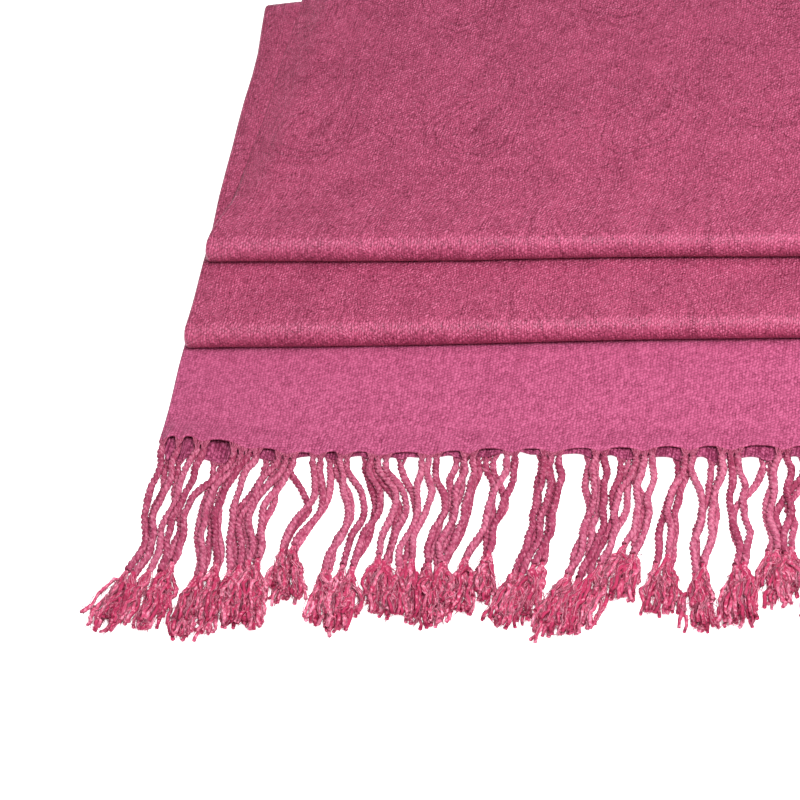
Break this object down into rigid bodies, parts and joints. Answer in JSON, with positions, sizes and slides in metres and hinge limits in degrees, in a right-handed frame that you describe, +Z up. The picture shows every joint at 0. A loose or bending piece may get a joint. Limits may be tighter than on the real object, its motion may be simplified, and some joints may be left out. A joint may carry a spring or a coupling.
{
  "type": "folded fringed stole",
  "caption": "Woven stole folded flat in stepped passes, with rounded folds, a plain end band and a twisted, tufted fringe in front.",
  "frame": {"origin": "on the surface it lies on, under the middle of its bounding box", "axes": "+X to the right along the folded hem, +Y from the fringe towards the back of the stack, +Z up"},
  "size_m": [0.3832, 0.3282, 0.0262],
  "materials": {
    "damask_cloth": "soft self-coloured paisley weave with a low sheen",
    "plain_cloth": "plain fine twill, soft",
    "fringe_cord": "two-ply twisted yarn with loose tufted ends"
  },
  "bodies": {
    "root": {"end_band": "plain_cloth", "middle_fold": "damask_cloth", "top_fold": "damask_cloth", "hidden_layers": "damask_cloth", "fringe_lower": "fringe_cord", "fringe_upper": "fringe_cord"}
  },
  "joints": []
}
